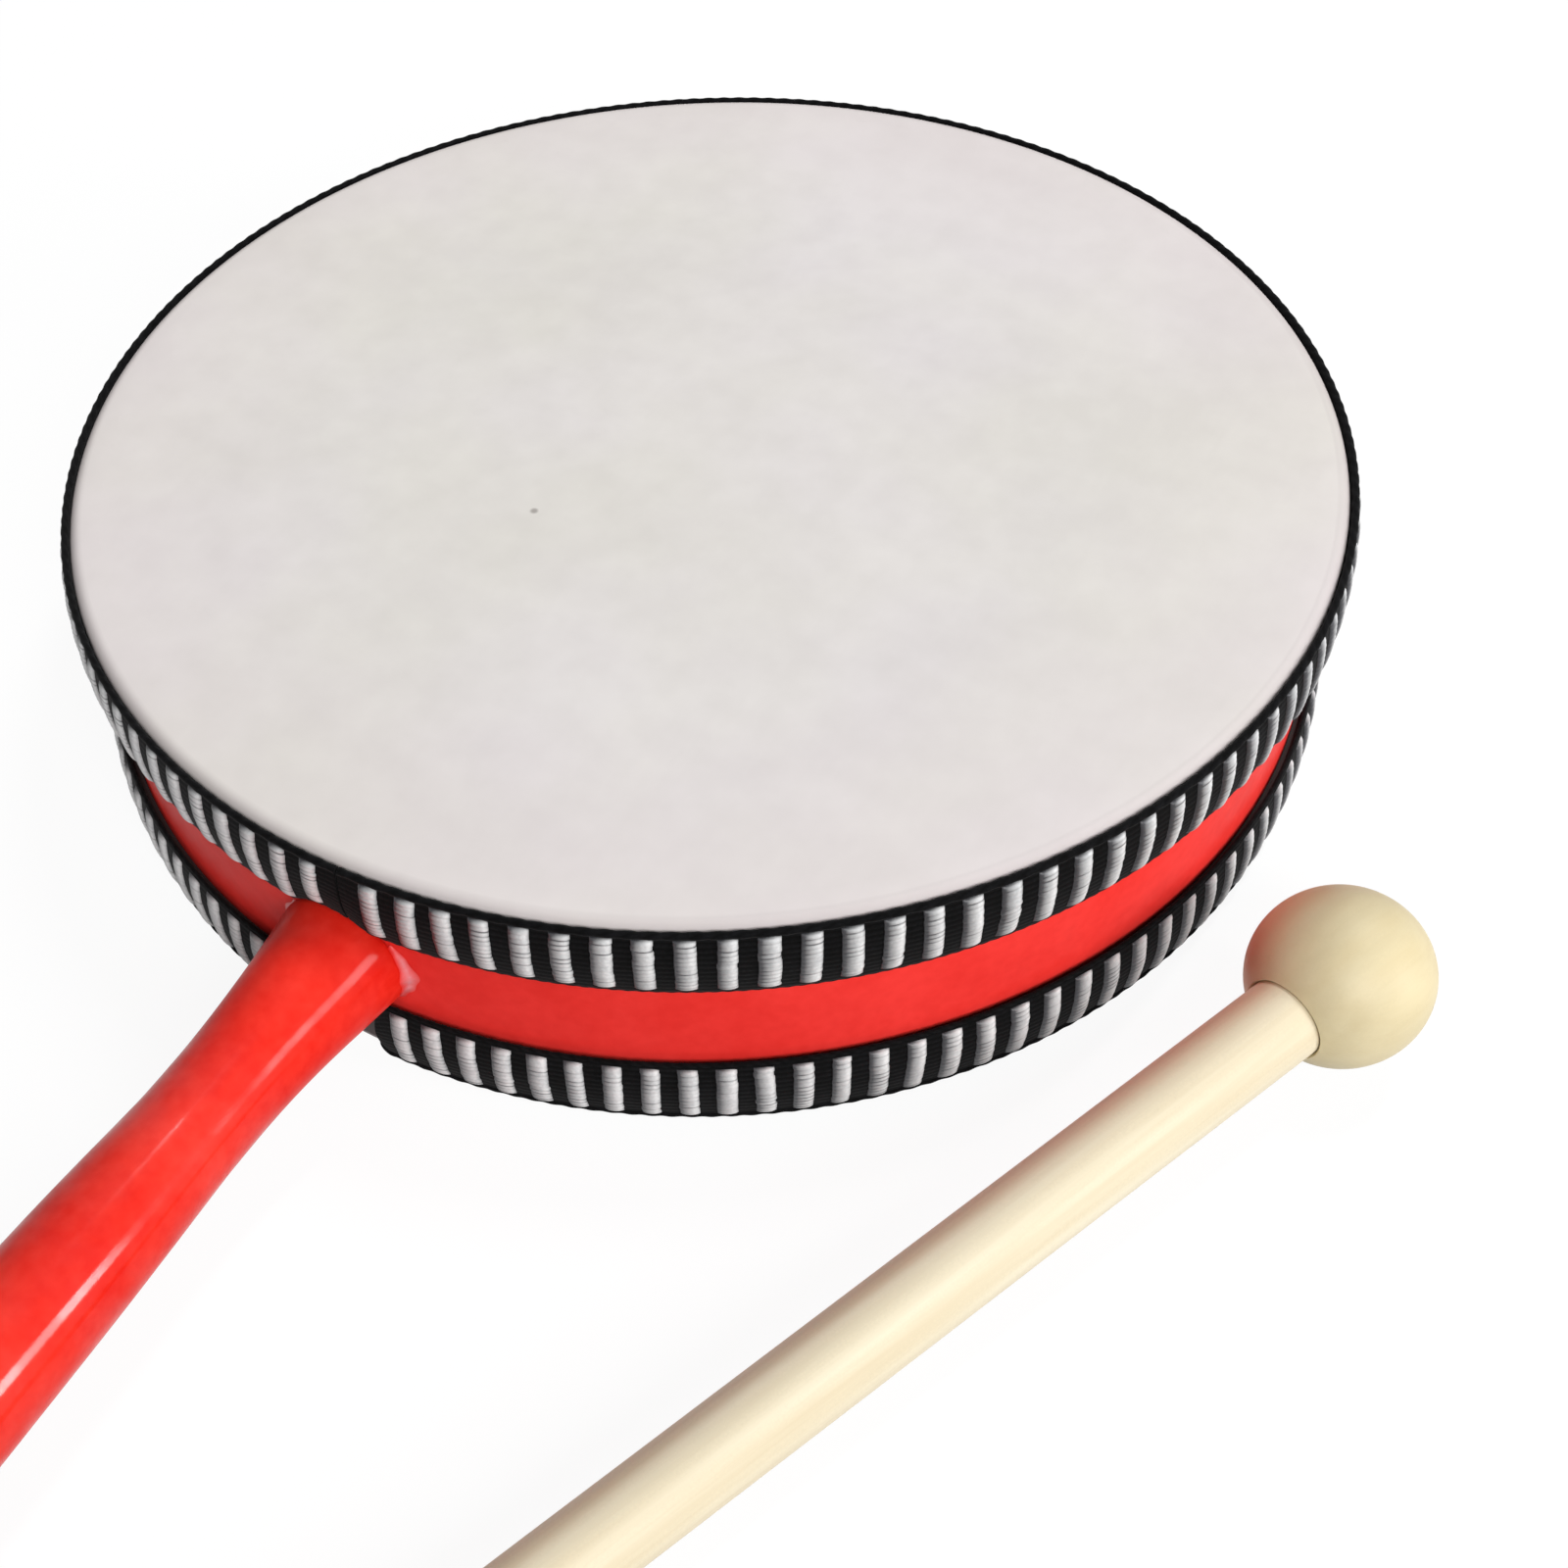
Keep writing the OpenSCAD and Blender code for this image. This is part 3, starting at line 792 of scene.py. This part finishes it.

# %% [markdown]
# The white ribs are blocks of satin yarn that float over the ground. A rib is a closed pillow: across
# its width it is round, along its height it is a stack of threads, and both ends tuck in beside the
# cords. One flank of each rib is painted dark and the other left white: painted shade, as of light from
# one side. Seeded draws shift each thread a little and paint shade of random depth between threads.

# %% White ribs
RIB_COUNT = 116
RIB_W = 2.2 * MM
RIB_W_SPREAD = 0.04
RIB_LEAN = 0.06 * MM
BARE_L = 1.45 * MM
RIB_POINTS = 4
RIB_ACROSS = 13
RIB_RISE = 0.8 * (RIB_OUT_R - TAPE_OUT_R)
RIB_FOOT = {"upper": 1.3 * BAND_CORD_D, "lower": 0.5 * BAND_CORD_D}
RIB_HEAD = 0.4 * RIM_CORD_D
RIB_TUCK = 0.4 * MM
RIB_SEEDS = (11, 12)
BACK_AT, BACK_SINK = 0.5, -0.25
THREAD_DEPTH = 0.08 * MM
RAGGED = 0.03 * MM
# painted shade on one flank of each rib, and where it starts and is full across the rib
FLANK_PAINTED_SHADE, FLANK_SHADE_FULL_TO, FLANK_SHADE_CLEAR_FROM = 0.9, -0.75, 0.65
EDGE_SHADE, TUCK_SHADE = 0.6, 0.4
# share of the painted shade between threads that is left at the band's edge
THREAD_SHADE_LOW = 0.35


def rib_outline():
    """A rib's outline as places across, from -1 to 1, and heights: half an ellipse, with a straight back."""
    angle = np.linspace(0, pi, RIB_ACROSS)
    across = np.concatenate([-np.cos(angle), [BACK_AT, -BACK_AT]])
    front = np.concatenate([np.sin(angle), [BACK_SINK, BACK_SINK]])
    return across, front


def ribs_mesh(name, side, seam, gap, foot, seed):
    """All ribs of a tape as equal grids: threads along the rows, the pillow's outline round the columns.
    Both ends tuck in with the square root of the distance from the end. The painted-shade attribute adds up
    shade between threads, shade at the tucked ends, shade on one flank and a shade that grows with the sixth
    power towards the edges."""
    draw = np.random.default_rng(seed)
    share = np.linspace(0, 1, WEFT_THREADS * RIB_POINTS + 1)
    thread = np.minimum((share * WEFT_THREADS).astype(int), WEFT_THREADS - 1)
    ridge = np.abs(np.sin(pi * WEFT_THREADS * share))
    across, front = rib_outline()
    bare = (gap / 2 + BARE_L) / TAPE_IN_R
    centre = seam + bare + (np.arange(RIB_COUNT)[:, None] + 0.5) * (2 * pi - 2 * bare) / RIB_COUNT
    width = RIB_W * (1 + RIB_W_SPREAD * draw.standard_normal(RIB_COUNT))[:, None, None]
    lean = RIB_LEAN * draw.standard_normal(RIB_COUNT)[:, None] * (2 * share - 1)
    shift = lean + RAGGED * draw.standard_normal((RIB_COUNT, WEFT_THREADS))[:, thread]
    bearing = centre[..., None] + (across * width / 2 + shift[..., None]) / TAPE_OUT_R
    rim, band = rim_line(centre, 0), band_line(centre, 0)
    top, low = rim - RIB_HEAD, band + foot
    height = low + (top - low) * share
    tuck = np.clip(np.minimum(height - low, top - height) / RIB_TUCK, 0, 1) ** 0.5
    rise = front * (RIB_RISE * tuck - THREAD_DEPTH * (1 - ridge))[..., None]
    radius = TAPE_IN_R + swollen((height - band) / (rim - band))[..., None] + rise
    points = round_drum(radius, bearing, height[..., None], side)
    # painted shade of random depth in the dips between threads, deeper towards the rim
    thread_shade_depth = draw.uniform(0, 1, (RIB_COUNT, WEFT_THREADS))[:, thread] ** 2
    thread_shade = thread_shade_depth * (1 - ridge) ** 2 * (THREAD_SHADE_LOW + (1 - THREAD_SHADE_LOW) * share)
    # painted shade on one flank, as of light from one side
    flank_shade = FLANK_PAINTED_SHADE * np.clip((FLANK_SHADE_CLEAR_FROM - across) / (FLANK_SHADE_CLEAR_FROM - FLANK_SHADE_FULL_TO), 0, 1)
    flank_and_edge_shade = flank_shade + EDGE_SHADE * np.abs(across) ** 6
    # all painted shade: between threads, at the tucked ends, on one flank and at both edges
    valley = np.clip((thread_shade + TUCK_SHADE * (1 - tuck))[..., None] + flank_and_edge_shade, 0, 1)
    return surface(name, points, round_columns=True, caps=True, sharp=75, valley=valley)


for (label, side, seam, gap), seed in zip(TAPES, RIB_SEEDS):
    ribs = ribs_mesh(label + "_white_ribs", side, seam, gap, RIB_FOOT[label], seed)
    place_piece(ribs, WHITE_YARN, "drum", "white_yarn", label + "_ribs")

# %% [markdown]
# The handle was turned on a lathe and then lacquered. Its profile flares at the root, narrows to a
# neck, swells to the grip and closes in a dome. The root is coped: it follows the round hoop. Thick
# paint leaves shallow lumps, so the radius also gets seeded waves, which break the long highlight as on
# the real handle.

# %% Handle
HANDLE_L = -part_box("handle")[0].y - HOOP_R
FLARE_L, NECK_L, BUTT_L = 22 * MM, 5 * MM, 28 * MM
NECK_R, GRIP_R = 5.8 * MM, 7.2 * MM
TENON_R = 4.0 * MM
TENON_END = HOOP_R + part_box("handle")[1].y
TENON_SHOULDER = 0.5 * MM
EASED = 1.2 * MM
COPED_L = 4 * MM
PAINT_LUMP = 0.09 * MM
LUMPS_FROM = 6 * MM
HANDLE_TURNS = 128
EASED_POINTS, GRIP_POINTS, DOME_POINTS = 8, 120, 40


def handle_radius(s):
    """Radius at distance s from the hoop: a quarter-round edge on a square-law flare, a straight neck, a sine
    swell and a fourth-power dome."""
    neck_end, grip_at = FLARE_L + NECK_L, HANDLE_L - BUTT_L
    flare = NECK_R + (ROOT_R - NECK_R) * np.clip(1 - s / FLARE_L, 0, 1) ** 2
    flare = flare - EASED * (1 - np.sqrt(1 - np.clip(1 - s / EASED, 0, 1) ** 2))
    swell = (GRIP_R - NECK_R) * np.sin(pi / 2 * np.clip((s - neck_end) / (grip_at - neck_end), 0, 1))
    dome = np.sqrt(np.clip(1 - np.clip((s - grip_at) / BUTT_L, 0, 1) ** 4, 0, 1))
    return (flare + swell) * dome


def handle_profile():
    """The handle's (radius, distance from the hoop) outline from the tenon's end to the tip of the dome."""
    root = EASED * quarter(EASED_POINTS)[:-1]
    grip = np.linspace(EASED, HANDLE_L - BUTT_L, GRIP_POINTS)
    dome = HANDLE_L - BUTT_L + BUTT_L * np.sin(np.linspace(0, pi / 2, DOME_POINTS))[1:]
    s = np.concatenate([root, grip, dome])
    tenon = [(0, -TENON_END), (TENON_R, -TENON_END), (TENON_R, -TENON_SHOULDER), (TENON_R, 0)]
    shoulder = [(ROOT_R - 2 * EASED, 0)]
    return np.concatenate([tenon, shoulder, np.stack([handle_radius(s), s], -1)])


def handle_mesh(name):
    """The outline turned round the handle's axis, with lumps of paint; the shoulder lies on the hoop."""
    x, z, run = np.moveaxis(turned(handle_profile(), HANDLE_TURNS), -1, 0)
    angle = np.arctan2(z, x)
    lumps = waves(run, angle * NECK_R, seed=21, count=14, longest=60 * MM, shortest=14 * MM)
    swell = 1 + PAINT_LUMP * lumps * np.clip(run / LUMPS_FROM, 0, 1) / GRIP_R
    x, z = x * swell, z * swell
    seat = np.sqrt((HOOP_R + GLUE_LINE) ** 2 - x ** 2) - HOOP_R
    run = run + seat * np.clip(1 - run / COPED_L, 0, 1) * (run >= 0)
    return surface(name, np.stack([x, -(HOOP_R + run), MID_Z + z], -1), round_rows=True, sharp=50)


place_piece(handle_mesh("turned_handle"), HANDLE_RED, "drum", "red_lacquer", "handle")

# %% [markdown]
# Glue was squeezed out beside the handle's root and wiped, which left a small pale fillet in the corner
# between the root and the hoop. Its section is a hollow corner whose size wavers; it is carried round
# the root and fades at both ends.

# %% Glue beside the root
FILLET_W, FILLET_RISE = 2.4 * MM, 1.3 * MM
FILLET_FROM, FILLET_TO = radians(-44), radians(34)
FILLET_POINTS, HOLLOW_POINTS = 60, 9
FILLET_FADE = 0.3
FILLET_WAVER = 0.15
THIN = 1 / 3


def fillet_mesh(name, side, seed):
    """Closed fillet: angle round the handle along the rows; the section goes along the hoop, up the hollow
    and back. The attribute "thick" is high in the middle of the hollow."""
    turn = np.linspace(FILLET_FROM, FILLET_TO, FILLET_POINTS)[:, None]
    fade = np.sin(np.linspace(0, pi, FILLET_POINTS))[:, None] ** FILLET_FADE
    uneven = waves(turn * ROOT_R, 0 * turn, seed, count=6, longest=8 * MM, shortest=2.5 * MM)
    size = fade * (1 - FILLET_WAVER + FILLET_WAVER * uneven)
    hollow = np.linspace(0, pi / 2, HOLLOW_POINTS)
    out = np.concatenate([1 - np.sin(hollow), [0]]) * size * FILLET_W
    off = np.concatenate([1 - np.cos(hollow), [0]]) * size * FILLET_RISE
    reach = handle_radius(off) + GLUE_LINE + out
    x, z = side * reach * np.cos(turn), reach * np.sin(turn)
    y = -np.sqrt((HOOP_R + GLUE_LINE) ** 2 - x ** 2) - off
    mid_hollow = np.concatenate([1 - np.abs(4 * hollow / pi - 1), [0]])
    thick = mid_hollow * np.clip((fade - THIN) / (1 - THIN), 0, 1)
    return surface(name, np.stack([x, y, MID_Z + z], -1), round_columns=True, caps=True, thick=thick)


place_piece(fillet_mesh("right_glue_fillet", 1, seed=31), GLUE, "drum", "glue", "handle_glue")
place_piece(fillet_mesh("left_glue_fillet", -1, seed=32), GLUE, "drum", "glue", "handle_glue")

# %% [markdown]
# The mallet is a turned ball on a dowel. The ball is drilled, so its outline runs from the socket's
# floor up the wall, over a small chamfer and round the sphere. The dowel narrows slightly towards its
# rounded free end.

# %% Mallet
STICK_R = 4.5 * MM
SOCKET_L = 11 * MM
FIT_GAP = 0.1 * MM
MOUTH_CHAMFER = 0.2 * MM
BALL_TURNS, BALL_POINTS = 128, 90
STICK_TURNS, STICK_STEP, ROUND_POINTS = 64, 2 * MM, 10
STICK_UNEVEN, ALONG_GRAIN = 0.004, 0.3
MALLET_FRAME = np.array(STICK_TURN.to_matrix())


def along_stick(points):
    """Moves points from the mallet's own frame, +Z along the stick, to where the mallet lies."""
    return points @ MALLET_FRAME.T + np.array(BALL_AT)


def ball_mesh(name):
    """Drilled ball: socket floor, wall, chamfer, then the sphere's arc to the far pole, turned round the
    stick's axis."""
    bore = STICK_R + FIT_GAP
    floor = BALL_R - SOCKET_L
    mouth_r = bore + MOUTH_CHAMFER
    mouth = sqrt(BALL_R ** 2 - mouth_r ** 2)
    socket = [(0, floor), (bore, floor), (bore, mouth - MOUTH_CHAMFER)]
    sphere = arc((0, 0), BALL_R, np.degrees(atan2(mouth, mouth_r)), -90, BALL_POINTS)
    sphere[-1, 0] = 0
    outline = np.concatenate([socket, sphere])
    return surface(name, along_stick(turned(outline, BALL_TURNS)), round_rows=True, sharp=35)


def stick_mesh(name):
    """Dowel: straight in the socket, then a slight taper to a rounded end; slow waves keep it from being
    perfect, and only ever take wood away."""
    base = BALL_R - SOCKET_L + GLUE_LINE
    taper_end = STICK_END - STICK_ROUND
    taper = stretch([(STICK_R, base), (STICK_R, BALL_R), (STICK_END_R, taper_end)], STICK_STEP)
    end = arc((STICK_END_R - STICK_ROUND, taper_end), STICK_ROUND, 0, 90, ROUND_POINTS)
    profile = np.concatenate([[(0, base)], taper, end[1:], [(0, STICK_END)]])
    points = turned(profile, STICK_TURNS)
    x, y, z = np.moveaxis(points, -1, 0)
    around = np.arctan2(y, x) * STICK_R
    uneven = waves(z * ALONG_GRAIN, around, seed=41, count=8, longest=40 * MM, shortest=8 * MM)
    planed = np.minimum(1 + STICK_UNEVEN * uneven, 1)
    points[..., :2] *= np.where(z > BALL_R, planed, 1)[..., None]
    return surface(name, along_stick(points), round_rows=True, sharp=50)


place_piece(ball_mesh("turned_ball"), BALL_WOOD, "mallet", "pale_wood", "mallet_ball")
place_piece(stick_mesh("dowel_stick"), STICK_WOOD, "mallet", "pale_wood", "mallet_stick")

# %% [markdown]
# Stage: a plain white table. It shows almost plain white to the camera and in reflections, and fades to
# pure white away from the drum. Near the drum a fifth of what shows is the lit table, which keeps the
# shadow. That fifth is darker than white, so the plain part glows a little more there, and exactly as
# white further out.

# %% Floor
FLOOR_HALF = 6
FLOOR_GREY = 0.5
FLOOR_GLOW = 1.14
PLAIN_SHARE = 0.8
SHADOW_REACH = 0.2
CLEAR_FROM = 3 * SHADOW_REACH
WHITE = (1, 1, 1, 1)


def plain_sight(tree):
    """1 for rays from the camera, in a reflection or through glass, and 0 for light that bounces."""
    ray = add(tree, "ShaderNodeLightPath").outputs
    direct = calculate(tree, "MAXIMUM", ray["Is Camera Ray"], ray["Is Glossy Ray"])
    return calculate(tree, "MAXIMUM", direct, ray["Is Transmission Ray"])


def white_table():
    """Table that bounces light as a grey one does and shows as white."""
    material = bpy.data.materials.new("white_table")
    tree = empty_tree(material)
    from_drum = measure(tree, "LENGTH", object_place(tree))
    plain_share = span(tree, from_drum, SHADOW_REACH, CLEAR_FROM, PLAIN_SHARE, 1)
    glow = span(tree, from_drum, SHADOW_REACH, CLEAR_FROM, FLOOR_GLOW, 1)
    shown = calculate(tree, "MULTIPLY", plain_sight(tree), plain_share)
    lit = add(tree, "ShaderNodeBsdfDiffuse", {"Color": (FLOOR_GREY, FLOOR_GREY, FLOOR_GREY, 1)})
    plain = add(tree, "ShaderNodeEmission", {"Color": WHITE, "Strength": glow})
    both = add(tree, "ShaderNodeMixShader", {0: shown, 1: lit.outputs[0], 2: plain.outputs[0]})
    add(tree, "ShaderNodeOutputMaterial", {"Surface": both.outputs[0]})
    return material


floor_mesh = bpy.data.meshes.new("floor")
floor_corners = [(x * FLOOR_HALF, y * FLOOR_HALF, 0) for x, y in ((-1, -1), (1, -1), (1, 1), (-1, 1))]
floor_mesh.from_pydata(floor_corners, [], [(0, 1, 2, 3)])
floor_mesh.materials.append(white_table())
floor = bpy.data.objects.new("floor", floor_mesh)
bpy.context.scene.collection.objects.link(floor)
print("floor", 2 * FLOOR_HALF, "m wide")

# %% [markdown]
# The room is white to the camera, and its own light on the drum is only a faint fill. The key lamp
# stands in front on the right. A lower lamp at the right and one above and behind the drum draw the
# broken highlight along the handle: each shows only where the turned profile tilts towards it.

# %% World and lamps
FILL = 0.08

world = bpy.data.worlds.new("soft_room")
bpy.context.scene.world = world
sky = empty_tree(world)
sky_level = span(sky, plain_sight(sky), 0, 1, FILL, 1)
sky_light = add(sky, "ShaderNodeBackground", {"Color": WHITE, "Strength": sky_level})
add(sky, "ShaderNodeOutputWorld", {"Surface": sky_light.outputs[0]})


def lamp(name, place, long, wide, power):
    """A rectangular lamp that faces the drum."""
    data = bpy.data.lights.new(name, "AREA")
    data.shape = "RECTANGLE"
    data.size = long
    data.size_y = wide
    data.energy = power
    made = bpy.data.objects.new(name, data)
    turn = Vector(place).to_track_quat("Z", "Y").to_matrix().to_4x4()
    made.matrix_world = Matrix.Translation(place) @ turn
    bpy.context.scene.collection.objects.link(made)
    print(name, power, "W")


lamp("key_lamp", place=(3.08, -2.58, 3.16), long=2.4, wide=2.4, power=202)
lamp("low_right_lamp", place=(1.62, 0.26, 0.56), long=0.33, wide=0.42, power=11)
lamp("overhead_lamp", place=(0.20, 0.81, 1.55), long=0.08, wide=0.5, power=11)
bpy.context.scene.view_settings.view_transform = "Standard"
